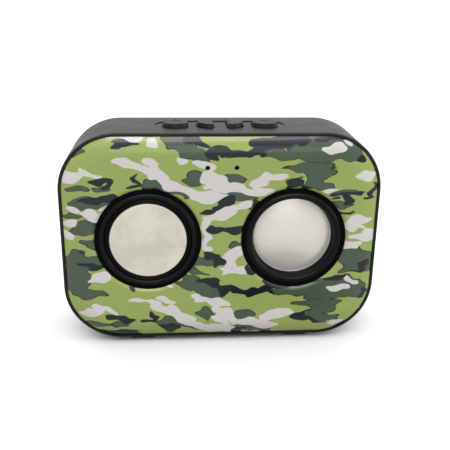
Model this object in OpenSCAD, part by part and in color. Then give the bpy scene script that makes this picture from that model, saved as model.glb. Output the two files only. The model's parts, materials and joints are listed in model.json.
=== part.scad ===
// Portable twin-diaphragm wireless speaker: a rounded casing tub, a crowned printed
// front panel, one active driver, one passive radiator, four top keys and a rear port row.
// Body frame: X right, Y back from the plane of the casing's front rim, Z up from mid height.
// The assembled part stands on its feet, with its origin at the bottom centre.

/* [Casing] */
// Width of the casing
body_w = 120; // [116:1:160]
// Height of the casing without its feet
body_h = 82; // [80:1:120]
// Depth of the casing from its front rim to its back
body_d = 35; // [34:0.5:60]
// Radius of the four corners seen from the front
corner_r = 22; // [18:0.5:26]
// Radius that rounds the back edge
back_round = 7; // [4:0.5:8]
// Thickness of the casing walls
wall = 2.4; // [2:0.1:3.2]
// Thickness of the rim round the front panel
rim_w = 1.1; // [0.9:0.1:1.6]
// Radius that rounds the outer edge of the rim
rim_round = 0.6; // [0.3:0.1:0.8]

/* [Front panel] */
// Width of the fine gap between rim and panel
panel_gap = 0.2; // [0.15:0.05:0.4]
// How far the flat middle of the panel stands in front of the rim
panel_crown = 1.8; // [1:0.1:2.4]
// Width of the band in which the panel curves back to the rim
panel_roll = 7; // [4:0.5:9]
// How far the panel's edge lies behind the front of the rim
panel_edge = 0.3; // [0.1:0.1:0.6]
// Thickness of the panel in its flat middle
panel_t = 1.5; // [1.2:0.1:1.8]
// Width of the land round the panel's back that is glued down
panel_land = 4; // [3:0.5:6]
// Width of the bevel round the panel's two large holes
hole_bevel = 1.2; // [0.4:0.1:1.6]
// Radius of the microphone hole and of the indicator hole
pinhole_r = 0.9; // [0.5:0.1:1.2]
// Distance between the two pinholes
pinhole_gap = 10.6; // [8:0.2:20]
// Depth of the baffle plate's front face behind the rim
baffle_y = 2.4; // [2.2:0.1:3]
// Thickness of the baffle plate
baffle_t = 2; // [1.6:0.1:3]

/* [Driver and radiator] */
// Distance between the two centres
unit_gap = 55; // [52:0.5:70]
// Height of both centres above mid height
unit_lift = 0.4; // [-2:0.1:2]
// Outer radius of the round frames
unit_r = 19.9; // [16.6:0.1:24]
// Clearance between a frame and the hole in the panel
unit_gap_r = 0.4; // [0.2:0.1:0.8]
// Radius of the half-round roll of the driver's surround
roll_r = 1.7; // [1.2:0.1:2]
// Height of the dome's crown
dome_crown = 1.7; // [0.5:0.1:3]
// Radius of the half-round roll of the radiator's surround
flat_roll_r = 1.1; // [0.9:0.1:1.4]
// Width of the groove between that roll and the bead round the plate
groove_w = 1.1; // [0.8:0.1:1.6]
// Width of the bead round the plate
bead_w = 0.75; // [0.6:0.05:1.2]
// Thickness of the radiator's metal plate
plate_t = 1.1; // [0.6:0.1:1.6]
// Radius of the voice coil's former
coil_r = 8; // [6:0.1:9]
// Outer radius of the ring magnet
magnet_r = 16; // [13:0.5:20]
// Thickness of the ring magnet
magnet_t = 6; // [4:0.5:8]
// Distance of the frame screws outside the frames
ear_out = 2.7; // [2.6:0.1:4]

/* [Keys] */
// Width of an outer key
key_w = 8.6; // [7:0.1:9.4]
// Depth of every key from front to back
key_d = 12; // [9:0.2:15]
// Radius of an outer key's curved front and back edges
key_arc = 6.4; // [6:0.2:20]
// Height of the keys above the casing
key_h = 1.6; // [1:0.1:2.4]
// How far the step round a key's foot stands out
key_step = 0.35; // [0.2:0.05:0.5]
// Height of that step above the casing
key_step_h = 0.7; // [0.6:0.1:0.9]
// Travel of a pressed key
key_travel = 0.5; // [0.2:0.1:0.8]
// Distance from the middle to an outer key's centre
outer_key_x = 16.8; // [16:0.2:20]
// Distance from the middle to an inner key's near side
inner_key_x = 2.85; // [2.6:0.05:4]
// Width of an inner key
inner_key_w = 5.55; // [5:0.05:6.6]
// Length of an inner key's straight front and back edges
inner_key_flat = 2.4; // [1:0.1:4]
// Depth of an inner key at its narrow outer end
inner_key_tip = 6.5; // [3:0.1:8]
// Depth of the sloping tray round the keys at its back
tray_depth = 0.4; // [0.2:0.1:0.9]
// Width of the tray round the keys
tray_margin = 1.5; // [0.8:0.1:2]
// Clearance round a key in its hole
key_clear = 0.25; // [0.15:0.05:0.4]

/* [Feet] */
// Length of a foot pad
foot_l = 14; // [10:0.5:20]
// Width of a foot pad
foot_w = 8; // [6:0.5:10]
// Height of the foot pads below the casing
foot_h = 2.2; // [1.5:0.1:4]
// Distance from the middle to a foot's centre
foot_x = 30.5; // [20:0.5:34]
// Depth of the pockets that the foot pads sit in
foot_seat = 0.6; // [0.4:0.1:1]

/* [Electronics] */
// Width of the circuit board
board_w = 84; // [80:1:90]
// Thickness of the circuit board
board_t = 1.6; // [1:0.1:2]
// Depth of the board's top face below the inside of the casing's top
board_drop = 8; // [7.6:0.1:9]
// Length of the round battery cell
cell_l = 65; // [50:1:70]
// Radius of the round battery cell
cell_r = 9.2; // [7:0.1:9.5]
// Travel of the power switch knob
switch_travel = 2; // [1:0.5:2.4]
// Radius of the headphone socket's bore
aux_r = 1.8; // [1.75:0.05:1.9]
// Depth of the headphone socket's bore
aux_depth = 14; // [12:0.5:14.5]

/* [Fasteners] */
// Radius of the casing screws' heads
case_head_r = 2.6; // [2.2:0.1:3]
// Radius of the casing screws' shanks
case_shank_r = 1.2; // [1:0.1:1.5]
// Radius of the small screws' heads
small_head_r = 1.8; // [1.5:0.1:2]
// Radius of the small screws' shanks
small_shank_r = 0.8; // [0.6:0.1:1]

/* [Hidden] */
$fn = 64;

fit = 0.15;              // clearance of a piece in its seat
skin = 0.05;             // clearance between faces that just meet across a joint
screw_clear = 0.02;      // clearance of a shank in its pilot hole
over = 1;                // how far a cutting shape runs past the surface that it cuts

// Stations along the depth
ledge_y = baffle_y + baffle_t;
inner_back = body_d - wall;
seal_t = 0.5;
flange_t = 0.8;
flange_y = baffle_y - seal_t - flange_t;
rim_front = -1.0;                    // front of a frame's upstanding wall
gasket_front = -1.3;                 // front of the soft ring inside that wall
crest = 1.9;                         // how far the surrounds' crests stand before the rim
proud = max(crest, panel_crown);
rim_y = proud - (body_d + proud) / 2;
mid_z = foot_h + body_h / 2;

// Heights inside the casing
top_in = body_h / 2 - wall;
board_top = top_in - board_drop;
board_low = board_top - board_t;
pinhole_z = board_low - 0.6;
floor_in = -top_in;

// Keys: all four share one middle line along the depth
key_y = 14.5;
tray_r = key_d / 2 + tray_margin;
tray_x = outer_key_x + 0.3;
tray_front = 0.05;                   // depth of the tray at its front
KEYS = [["plus", -outer_key_x], ["back", -inner_key_x - inner_key_w / 2],
        ["forward", inner_key_x + inner_key_w / 2], ["minus", outer_key_x]];
key_flange_t = 0.9;
key_flange_w = 0.7;
key_flange_top = top_in - 0.1;
switch_side = 6;
switch_h = 3.5;
plunger_r = 1.7;
plunger_top = board_top + 5;
stem_r = 1.5;

// Board outline and what is on it
board_front = 8;
board_back = inner_back - 0.4;
BOARD_SCREWS = [[-34, 14], [34, 14], [0, 24]];
small_head_h = 1;
boss_wall = 1.5;

// Rear port row: centre of each socket along X, seen in the body frame
switch_x = -23;
card_x = -9.5;
charge_x = 8;
aux_x = 23;
bezel_w = 58;
bezel_h = 10;
bezel_z = board_low - 2;
bezel_sink = 0.8;
bezel_t = 1.6;
bezel_face = body_d - bezel_sink;
port_mouth = bezel_face - 0.1;
charge_shell = [7.6, 2.7, 5.6];
card_shell = [14, 1.6, 15];
aux_body = [6.4, 5.2, 15];
aux_nose = 2.6;                      // round part of the socket in front of its body
aux_barrel_r = 2.6;
switch_body = [8.8, 3.6, 4];
knob_side = 1.6;
shell_t = 0.3;
port_clear = 0.2;
charge_z = board_low - charge_shell[1] / 2;
card_z = board_low - card_shell[1] / 2;
aux_z = board_low - aux_body[1] / 2;
switch_z = board_low - switch_body[1] / 2;

// Casing screws run from the back into bosses on the baffle plate
case_x = body_w / 2 - 13.5;
case_z = body_h / 2 - 13.5;
boss_r = 3.2;
boss_meet = 17;                      // where the casing's boss meets the baffle's boss
case_seat = boss_meet + 3;           // depth of the face under a screw's head
case_head_h = 2;
case_screw_l = 12;

// Battery along the bottom
cell_y = 20;
cell_z = floor_in + 0.8 + cell_r;
rib_x = 24;
rib_t = 2;
cell_clear = 0.2;

// Driver stack, behind the surround
surround_t = 0.5;
frame_in = unit_r - 0.8;             // inside of a frame's upstanding wall
roll_out = unit_r - 1.4;             // outside of a surround's roll
roll_mid = roll_out - roll_r;
dome_r = roll_mid - roll_r;
ear_r = unit_r + ear_out;
roll_y = -crest + roll_r;
surround_foot = flange_y - surround_t;
dome_y = 2.5;
dome_t = 0.35;
basket_back = 10.5;
basket_r = dome_r - 1.9;
top_plate_t = 2.5;
yoke_t = 2.5;
pole_clear = 0.25;
coil_t = 0.65;
plate_y = 1 - crest - 0.65;          // front of the radiator's plate
bead_r = roll_out - 2 * flat_roll_r - groove_w;
plate_r = bead_r - bead_w;

// Plugs of the two pairs of leads, and the leads' routes in the body frame
plug = [5.8, 6, 5.6];
plug_x = 38.5;
plug_y = 17.9;
wire_r = 0.6;
BATTERY_ROUTES = [
    [[-33.6, 18.9, -28.6], [-36, 18.9, -26], [-38, 18.9, -18], [-42, 18.9, -6], [-44, 18.9, 7],
     [-42.4, 19.6, 15], [-40, 20.9, 19.8], [-39.8, 20.9, 21.8], [-39.8, 20.9, 23.3]],
    [[33.6, 20, -28.6], [35.2, 20, -26], [35.4, 20, -20.4], [33.6, 20, -18], [30, 20, -17.8],
     [0, 20, -17.8], [-30, 20, -17.8], [-38, 21.6, -12], [-40.5, 21.4, -4], [-41.6, 21.2, 7],
     [-40, 21, 14.5], [-37.6, 20.9, 19.6], [-37.3, 20.9, 21.8], [-37.3, 20.9, 23.3]]];
DRIVER_ROUTES = [
    [[42.1, 7, 12.2], [43.2, 9.5, 13.2], [45, 13, 15.5], [44.5, 17, 18], [41.5, 20.6, 20.4],
     [39.8, 20.9, 22], [39.8, 20.9, 23.3]],
    [[39.3, 7, 15], [40, 9.5, 16.2], [41.5, 13, 17.8], [40.8, 17, 19.4], [38.6, 20.4, 20.8],
     [37.3, 20.9, 22], [37.3, 20.9, 23.3]]];

// ---------- helpers ----------

module place() translate([0, rim_y, mid_z]) children();

// Turns a shape whose axis is Z so that its axis runs back along Y from the point p
module back_from(p) translate(p) rotate([-90, 0, 0]) children();

module tube(outer, inner, h) difference() {
    cylinder(r = outer, h = h);
    translate([0, 0, -over]) cylinder(r = inner, h = h + 2 * over);
}

// Section of a rounded edge: x runs outwards to r, y runs back from 0 to d
module edge_section(r, d, front, back) {
    square([r - max(front, back), d]);
    translate([0, front]) square([r, d - front - back]);
    if (front > 0) translate([r - front, front]) circle(front);
    if (back > 0) translate([r - back, d - back]) circle(back);
}

// Sweeps a section round a rounded rectangle and fills the middle back from y = 0 to d
module swept_slab(w, h, r, d) {
    for (i = [0 : 3]) rotate(90 * i)
        translate([(i % 2 ? h : w) / 2 - r, (i % 2 ? w : h) / 2 - r, 0])
            rotate_extrude(angle = 90) children();
    for (i = [0 : 3]) rotate(90 * i)
        translate([(i % 2 ? h : w) / 2 - r, (i % 2 ? w : h) / 2 - r, 0])
            rotate([90, 0, 0]) linear_extrude((i % 2 ? w : h) - 2 * r) children();
    translate([r - w / 2, r - h / 2, 0]) cube([w - 2 * r, h - 2 * r, d]);
}

module slab(w, h, r, y, d, front = 0, back = 0)
    back_from([0, y, 0]) swept_slab(w, h, r, d) edge_section(r, d, front, back);

// Flat shape with the outline of a stadium, l long along X
module stadium(l, w) {
    square([l - w, w], center = true);
    for (s = [-1, 1]) translate([s * (l - w) / 2, 0]) circle(w / 2);
}

// A block given by its centre on X and Z and its ends on Y
module port_block(x, z, size, y, grow = 0)
    translate([x - size[0] / 2 - grow, y, z - size[1] / 2 - grow])
        cube([size[0] + 2 * grow, size[2], size[1] + 2 * grow]);

module pan_screw(head_r, head_h, shank_r, l) {
    difference() {
        cylinder(r = head_r, h = head_h);
        for (a = [0, 90]) rotate(a) translate([0, 0, -over])
            translate([-head_r * 0.55, -head_r * 0.13, 0]) cube([head_r * 1.1, head_r * 0.26, over + head_h * 0.5]);
    }
    translate([0, 0, head_h]) cylinder(r = shank_r, h = l - shank_r);
    translate([0, 0, head_h + l - shank_r]) cylinder(r1 = shank_r, r2 = shank_r * 0.3, h = shank_r);
}

// Points of a Catmull-Rom curve through a wire's route
function spline_point(a, b, c, d, t) =
    0.5 * (2 * b + t * (c - a) + t * t * (2 * a - 5 * b + 4 * c - d) + t * t * t * (3 * b - a - 3 * c + d));
function spline(route, steps) = let (n = len(route) - 1) concat(
    [for (i = [0 : n - 1], s = [0 : steps - 1])
        spline_point(route[max(i - 1, 0)], route[i], route[i + 1], route[min(i + 2, n)], s / steps)],
    [route[n]]);

// One closed solid swept along the points; the section's first axis stays near the depth
module wire(route, r, sides = 8, steps = 3) {
    path = spline(route, steps);
    n = len(path) - 1;
    rings = [for (i = [0 : n])
        let (t = path[min(i + 1, n)] - path[max(i - 1, 0)],
             u = cross(t, cross([0, 1, 0], t)),
             a = u / norm(u),
             b = cross(t, a) / norm(cross(t, a)))
        [for (k = [0 : sides - 1])
            path[i] + r * (cos(360 * k / sides) * a + sin(360 * k / sides) * b)]];
    sides_faces = [for (i = [0 : n - 1], k = [0 : sides - 1])
        let (m = (k + 1) % sides)
        [i * sides + k, (i + 1) * sides + k, (i + 1) * sides + m, i * sides + m]];
    polyhedron([for (ring = rings, p = ring) p],
        concat([[for (k = [0 : sides - 1]) k]], sides_faces,
            [[for (k = [sides - 1 : -1 : 0]) n * sides + k]]));
}

// ---------- casing ----------

module key_outline(name, grow = 0) {
    arc = max(key_arc, key_d / 2);
    if (name == "plus" || name == "minus")
        intersection() {
            square([key_w + 2 * grow, key_d + 2 * grow], center = true);
            for (s = [-1, 1]) translate([0, s * (arc - key_d / 2)]) circle(arc + grow, $fn = 128);
        }
    else {
        side = name == "back" ? -1 : 1;
        slope = (key_d - inner_key_tip) / 2 / (inner_key_w - inner_key_flat);
        lean = sqrt(1 + slope * slope);
        root = -side * (inner_key_w / 2 + grow);
        bend = side * (inner_key_flat - inner_key_w / 2 + grow * (lean - 1) / slope);
        tip = side * (inner_key_w / 2 + grow);
        half = key_d / 2 + grow;
        half_tip = inner_key_tip / 2 + grow * (lean - slope);
        polygon([[root, -half], [bend, -half], [tip, -half_tip], [tip, half_tip], [bend, half], [root, half]]);
    }
}

// The tray's floor falls from front to back
module key_tray() translate([0, key_y - tray_r, body_h / 2 - tray_front])
    rotate([-atan((tray_depth - tray_front) / tray_r / 2), 0, 0]) translate([0, tray_r, 0])
        linear_extrude(tray_depth + over) stadium(2 * (tray_x + tray_r), 2 * tray_r);

module key_holes() for (k = KEYS)
    translate([k[1], key_y, top_in - over]) linear_extrude(wall + 2 * over) key_outline(k[0], key_step + key_clear);

module corner_bosses() for (sx = [-1, 1], sz = [-1, 1]) translate([sx * case_x, 0, sz * case_z]) children();

FEET_Y = [foot_w / 2 + 3, body_d - back_round - foot_w / 2 - 0.5];
module each_foot() for (sx = [-1, 1], y = FEET_Y) translate([sx * foot_x, y, -body_h / 2]) children();

module bezel_outline(grow = 0) stadium(bezel_w + 2 * grow, bezel_h + 2 * grow);

module rear_casing() color("#6e6d69") place() difference() {
    union() {
        difference() {
            slab(body_w, body_h, corner_r, 0, body_d, rim_round, back_round);
            slab(body_w - 2 * rim_w, body_h - 2 * rim_w, corner_r - rim_w, -over, ledge_y + over);
            slab(body_w - 2 * wall, body_h - 2 * wall, corner_r - wall, ledge_y - over,
                 inner_back - ledge_y + over, 0, back_round - wall);
        }
        corner_bosses() back_from([0, boss_meet, 0]) cylinder(r = boss_r + 1, h = inner_back - boss_meet + 0.2);
        for (p = BOARD_SCREWS) translate([p[0], p[1], board_top])
            cylinder(r = small_shank_r + boss_wall, h = board_drop + 0.2);
        for (sx = [-1, 1]) translate([sx * rib_x - rib_t / 2, cell_y - cell_r - 2, floor_in - 0.2])
            cube([rib_t, inner_back - cell_y + cell_r + 2.2, cell_z - floor_in + 1.2]);
    }
    back_from([0, cell_y, cell_z]) translate([-cell_l / 2 - 3, 0, 0]) rotate([0, 90, 0])
        cylinder(r = cell_r + cell_clear, h = cell_l + 6);
    corner_bosses() back_from([0, boss_meet - over, 0]) cylinder(r = case_shank_r + fit, h = body_d);
    corner_bosses() back_from([0, case_seat, 0]) cylinder(r = case_head_r + 0.3, h = body_d);
    for (p = BOARD_SCREWS) translate([p[0], p[1], board_top - over])
        cylinder(r = small_shank_r + screw_clear, h = over + 6);
    key_tray();
    key_holes();
    back_from([0, body_d - bezel_sink - bezel_t, bezel_z]) linear_extrude(bezel_sink + bezel_t + over)
        bezel_outline(fit);
    back_from([0, inner_back - over, bezel_z]) linear_extrude(wall + 2 * over) bezel_outline(-0.8);
    each_foot() translate([0, 0, -over]) linear_extrude(foot_seat + over) stadium(foot_l + 2 * fit, foot_w + 2 * fit);
}

module front_panel() color("#8da455") place() {
    w = body_w - 2 * (rim_w + panel_gap);
    h = body_h - 2 * (rim_w + panel_gap);
    r = corner_r - rim_w - panel_gap;
    rise = panel_crown + panel_edge;
    arc = (panel_roll * panel_roll + rise * rise) / (2 * rise);
    depth = panel_crown + baffle_y;
    difference() {
        back_from([0, -panel_crown, 0]) swept_slab(w, h, r, depth) {
            square([r - panel_roll, depth]);
            intersection() {
                translate([r - panel_roll, 0]) square([panel_roll, depth]);
                translate([r - panel_roll, arc]) circle(arc, $fn = 180);
            }
        }
        slab(w - 2 * panel_land, h - 2 * panel_land, r - panel_land, panel_t - panel_crown,
             depth - panel_t + over);
        for (s = [-1, 1]) back_from([s * unit_gap / 2, -panel_crown - over, unit_lift]) {
            cylinder(r = unit_r + unit_gap_r, h = depth + 2 * over);
            translate([0, 0, over - 0.01]) cylinder(r1 = unit_r + unit_gap_r + hole_bevel, r2 = unit_r + unit_gap_r,
                h = hole_bevel * 0.6);
        }
        for (s = [-1, 1]) back_from([s * pinhole_gap / 2, -panel_crown - over, pinhole_z])
            cylinder(r = pinhole_r, h = panel_t + 2 * over);
    }
}

module baffle_plate() color("#1c1d1c") place() difference() {
    union() {
        slab(body_w - 2 * (rim_w + fit), body_h - 2 * (rim_w + fit), corner_r - rim_w - fit, baffle_y, baffle_t);
        corner_bosses() back_from([0, ledge_y - 0.2, 0]) cylinder(r = boss_r, h = boss_meet - ledge_y + 0.2 - skin);
        each_ear() back_from([0, ledge_y - 0.2, 0]) cylinder(r = small_shank_r + 1.3, h = 3.4);
        back_from([-pinhole_gap / 2, ledge_y - 0.2, pinhole_z]) cylinder(r = 4, h = 3);
    }
    for (s = [-1, 1]) back_from([s * unit_gap / 2, 0, unit_lift]) cylinder(r = unit_r - 1.9, h = body_d);
    corner_bosses() back_from([0, baffle_y + 1, 0]) cylinder(r = case_shank_r + screw_clear, h = body_d);
    each_ear() back_from([0, 0, 0]) cylinder(r = small_shank_r + screw_clear, h = body_d);
    back_from([pinhole_gap / 2, 0, pinhole_z]) cylinder(r = pipe_r + fit, h = body_d);
    back_from([-pinhole_gap / 2, 0, pinhole_z]) cylinder(r = pinhole_r, h = body_d);
    back_from([-pinhole_gap / 2, ledge_y - 0.4, pinhole_z]) cylinder(r = boot_r + skin, h = body_d);
}

module port_bezel() color("#141414") place() difference() {
    back_from([0, bezel_face - bezel_t, bezel_z]) linear_extrude(bezel_t) bezel_outline();
    cut = bezel_face - bezel_t - over;
    deep = bezel_t + 2 * over;
    port_block(charge_x, charge_z, [charge_shell[0], charge_shell[1], deep], cut, port_clear);
    port_block(card_x, card_z, [card_shell[0], card_shell[1], deep], cut, port_clear);
    back_from([aux_x, cut, aux_z]) cylinder(r = aux_barrel_r + port_clear, h = deep);
    port_block(switch_x, switch_z, [knob_side + switch_travel + 0.8, knob_side + 0.6, deep], cut);
}

module rubber_feet() color("#181818") place() each_foot() translate([0, 0, -foot_h]) {
    edge = 0.5;
    translate([0, 0, edge]) linear_extrude(foot_h + foot_seat - edge) stadium(foot_l, foot_w);
    linear_extrude(edge) stadium(foot_l - 2 * edge, foot_w - 2 * edge);
}

module casing_screws() color("#4c4d50") place() corner_bosses() translate([0, case_seat + case_head_h, 0])
    rotate([90, 0, 0]) pan_screw(case_head_r, case_head_h, case_shank_r, case_screw_l);

// ---------- keys ----------

module key_cap(name, x) color("#6e6d69") place() translate([x, key_y, 0]) {
    translate([0, 0, body_h / 2]) linear_extrude(key_h) key_outline(name);
    translate([0, 0, key_flange_top - 0.01]) linear_extrude(body_h / 2 + key_step_h - key_flange_top + 0.01)
        key_outline(name, key_step);
    translate([0, 0, key_flange_top - key_flange_t]) linear_extrude(key_flange_t)
        key_outline(name, key_step + key_flange_w);
    translate([0, 0, plunger_top + skin])
        cylinder(r = stem_r, h = key_flange_top - key_flange_t - plunger_top - skin + 0.2);
}

module plunger(x) color("#d8d6cc") place() translate([x, key_y, board_top + switch_h - 0.6])
    cylinder(r = plunger_r, h = plunger_top - board_top - switch_h + 0.6);

module key_switches() color("#2b2b2d") place() for (k = KEYS) translate([k[1], key_y, board_top]) difference() {
    translate([-switch_side / 2, -switch_side / 2, 0]) cube([switch_side, switch_side, switch_h]);
    translate([0, 0, switch_h - 0.7 - key_travel]) cylinder(r = plunger_r + skin, h = switch_h);
}

// ---------- board and sockets ----------

module main_board() color("#1f5a34") place() difference() {
    translate([-board_w / 2, board_front, board_low]) cube([board_w, board_back - board_front, board_t]);
    for (p = BOARD_SCREWS) translate([p[0], p[1], board_low - over])
        cylinder(r = small_shank_r + fit, h = board_t + 2 * over);
}

module board_screws() color("#b9bbbd") place() for (p = BOARD_SCREWS)
    translate([p[0], p[1], board_low - small_head_h]) pan_screw(small_head_r, small_head_h, small_shank_r, 6);

module board_chips() color("#232426") place() {
    translate([22, 11, board_low - 0.9]) cube([7, 7, 0.9]);
    translate([-27, 11, board_low - 1.5]) cube([8, 5, 1.5]);
    translate([6, 11, board_low - 1]) cube([5, 6, 1]);
}

module board_capacitors() color("#3a3f4a") place() for (s = [-1, 1])
    translate([s * (outer_key_x + key_w / 2 + 6.5), 25, board_top]) cylinder(r = 3.1, h = board_drop - 1);

// A folded metal shell, open at its back end towards the user
module socket_shell(x, z, size, y) difference() {
    port_block(x, z, size, y);
    port_block(x, z, [size[0] - 2 * shell_t, size[1] - 2 * shell_t, size[2]], y + shell_t);
}

module charge_socket() color("#b9bbbd") place()
    socket_shell(charge_x, charge_z, charge_shell, port_mouth - charge_shell[2]);

module charge_contacts() color("#161616") place()
    port_block(charge_x, charge_z + 0.3, [charge_shell[0] - 2.6, 0.6, charge_shell[2] - shell_t - 1.1],
        port_mouth - charge_shell[2] + shell_t);

module card_slot() color("#b9bbbd") place() difference() {
    port_block(card_x, card_z, card_shell, port_mouth - card_shell[2]);
    port_block(card_x, card_z - 0.1, [11.3, 0.9, card_shell[2]], port_mouth - card_shell[2] + 1);
}

module aux_socket() color("#1b1b1c") place() difference() {
    union() {
        port_block(aux_x, aux_z, aux_body - [0, 0, aux_nose], port_mouth - aux_body[2]);
        back_from([aux_x, port_mouth - aux_body[2], aux_z]) cylinder(r = aux_barrel_r, h = aux_body[2]);
    }
    back_from([aux_x, port_mouth - aux_depth, aux_z]) cylinder(r = aux_r, h = aux_depth + over);
}

knob_y = inner_back - 1.4;
module power_switch() color("#b9bbbd") place() difference() {
    port_block(switch_x, switch_z, switch_body, knob_y - switch_body[2] + 0.8);
    port_block(switch_x, switch_z, [knob_side + switch_travel + 1.8, knob_side + 0.2, switch_body[2]], knob_y - 0.6);
}

module power_knob() color("#101010") place() translate([-switch_travel / 2, 0, 0]) {
    port_block(switch_x, switch_z, [knob_side, knob_side, bezel_face + 0.7 - knob_y + 0.4], knob_y - 0.4);
}

// ---------- microphone and indicator ----------

boot_r = 2.9;
mic_r = 2;
mic_t = 1.8;
pipe_r = pinhole_r - 0.06;
pipe_front = baffle_y - 0.2;
led_y = board_front;                 // front face of the indicator's lamp

module microphone() color("#a9abad") place() {
    back_from([-pinhole_gap / 2, ledge_y + 0.6, pinhole_z]) cylinder(r = mic_r, h = mic_t);
    for (s = [-1, 1]) translate([-pinhole_gap / 2 + s * 0.9 - 0.2, ledge_y + 0.6 + mic_t - 0.1, board_low - 0.4])
        cube([0.4, board_front + 1.6 - ledge_y - 0.6 - mic_t, 0.4]);
}

module microphone_boot() color("#202020") place() difference() {
    back_from([-pinhole_gap / 2, ledge_y - 0.4, pinhole_z]) cylinder(r = boot_r, h = 2.8);
    back_from([-pinhole_gap / 2, ledge_y + 0.6, pinhole_z]) cylinder(r = mic_r + skin, h = 4);
    back_from([-pinhole_gap / 2, 0, pinhole_z]) cylinder(r = pinhole_r, h = body_d);
}

module indicator_led() color("#dfe6ea") place()
    translate([pinhole_gap / 2 - 1.5, led_y, board_low - 1.2]) cube([3, 1.6, 1.2]);

module light_pipe() color("#cfd6da", 0.6) place()
    back_from([pinhole_gap / 2, pipe_front, pinhole_z]) cylinder(r = pipe_r, h = led_y - 0.1 - pipe_front);

// ---------- battery ----------

module battery_cell() color("#2f6fb2") place() translate([-cell_l / 2, cell_y, cell_z]) rotate([0, 90, 0])
    cylinder(r = cell_r, h = cell_l);

module battery_tabs() color("#c4c6c8") place() for (s = [-1, 1])
    translate([s > 0 ? cell_l / 2 : -cell_l / 2 - 0.5, cell_y - 3.5, cell_z - 3.5]) cube([0.5, 7, 7]);

module battery_foam() color("#34353a") place() translate([-8, cell_y - 6, floor_in])
    difference() {
        cube([16, 12, cell_z - floor_in]);
        translate([-over, 6, cell_z - floor_in]) rotate([0, 90, 0]) cylinder(r = cell_r + skin, h = 16 + 2 * over);
    }

module battery_leads() color("#a52a2a") place() for (route = BATTERY_ROUTES) wire(route, wire_r);

module lead_plug(x) translate([x - plug[0] / 2, plug_y, board_low - plug[2]]) cube(plug);
module battery_plug() color("#e6e2d4") place() lead_plug(-plug_x);
module driver_plug() color("#e6e2d4") place() lead_plug(plug_x);

// ---------- driver and radiator ----------

module at_unit(side, y = 0) back_from([side * unit_gap / 2, y, unit_lift]) children();
module on_ears() for (a = [45 : 90 : 315]) rotate(a) translate([ear_r, 0, 0]) children();
module each_ear() for (s = [-1, 1], a = [45 : 90 : 315])
    translate([s * unit_gap / 2 + ear_r * cos(a), 0, unit_lift + ear_r * sin(a)]) children();

// Flat ring with four ears for screws
module eared_ring(inner, h) difference() {
    union() {
        cylinder(r = unit_r, h = h);
        for (a = [45 : 90 : 315]) rotate(a) translate([0, -2.4, 0]) cube([ear_r, 4.8, h]);
        on_ears() cylinder(r = 2.4, h = h);
    }
    translate([0, 0, -over]) cylinder(r = inner, h = h + 2 * over);
    on_ears() translate([0, 0, -over]) cylinder(r = small_shank_r + fit, h = h + 2 * over);
}

module frame_ring() {
    translate([0, 0, flange_y]) eared_ring(unit_r - 2.3, flange_t);
    translate([0, 0, rim_front]) tube(unit_r, frame_in, flange_y - rim_front + 0.1);
}

module driver_frame() color("#2a2b2d") place() at_unit(1) difference() {
    union() {
        frame_ring();
        rotate_extrude() polygon([[unit_r - 2.3, flange_y], [unit_r - 2.1, flange_y + flange_t + seal_t],
            [basket_r + 0.8, basket_back], [coil_r + 1.4, basket_back], [coil_r + 1.4, basket_back - 0.8],
            [basket_r, basket_back - 0.8], [unit_r - 3, flange_y + flange_t + seal_t],
            [unit_r - 3, flange_y]]);
    }
    for (a = [0 : 90 : 270]) rotate(a) translate([0, -5.5, baffle_y + baffle_t + 0.6]) cube([unit_r, 11, 3.6]);
}

module seal_ring(side) at_unit(side, baffle_y - seal_t) eared_ring(unit_r - 1.7, seal_t);
module gasket_ring(side) at_unit(side, gasket_front)
    tube(frame_in - skin, roll_out + skin, surround_foot - gasket_front);

// Half-round roll with straight legs: the outer leg reaches y1 and the inner leg y2
module roll_section(mid, rad, y1, y2) {
    intersection() {
        difference() {
            translate([mid, roll_y]) circle(rad);
            translate([mid, roll_y]) circle(rad - surround_t);
        }
        translate([mid - rad, roll_y - rad]) square([2 * rad, rad]);
    }
    translate([mid + rad - surround_t, roll_y]) square([surround_t, y1 - roll_y]);
    translate([mid - rad, roll_y]) square([surround_t, y2 - roll_y]);
}

module driver_surround() color("#151515") place() at_unit(1) rotate_extrude() {
    roll_section(roll_mid, roll_r, flange_y, dome_y + surround_t);
    translate([roll_out - surround_t, surround_foot])
        square([frame_in - skin - roll_out + surround_t, surround_t]);
    translate([dome_r - 1.1, dome_y]) square([roll_mid - roll_r - dome_r + 1.2, surround_t]);
}

module driver_dome() color("#d9d8d4") place() {
    big = (dome_r * dome_r + dome_crown * dome_crown) / (2 * dome_crown);
    at_unit(1, dome_y - skin) rotate_extrude() intersection() {
        difference() {
            translate([0, big - dome_crown]) circle(big, $fn = 180);
            translate([0, big - dome_crown + dome_t]) circle(big, $fn = 180);
        }
        translate([0, -dome_crown - over]) square([dome_r, dome_crown + over]);
    }
}

neck_y = 8.6;
module driver_cone() color("#3b352c") place() at_unit(1) rotate_extrude()
    polygon([[dome_r - 0.3, dome_y + surround_t + skin], [dome_r - 1.6, dome_y + surround_t + skin],
        [coil_r + 0.25, neck_y - 0.3], [coil_r + 0.25, neck_y], [coil_r + 0.7, neck_y]]);

module voice_coil() color("#b8692e") place() at_unit(1) {
    translate([0, 0, neck_y - 1.6]) tube(coil_r + 0.2, coil_r, 8);
    translate([0, 0, basket_back + 0.2]) tube(coil_r + coil_t, coil_r + 0.1, 4.6);
}

// Corrugated disc glued to the basket's inner shelf and to the former
module driver_spider() color("#a8843c") place() {
    inner = coil_r + 0.25;
    pitch = (basket_r - 0.1 - inner) / 4;
    fold = 0.3;
    cloth = 0.35;
    at_unit(1, basket_back - 0.8 - fold - cloth) rotate_extrude() for (i = [0 : 3])
        translate([inner + i * pitch, i % 2 ? fold : 0]) square([pitch + (i < 3 ? 0.2 : 0), cloth]);
}

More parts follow.
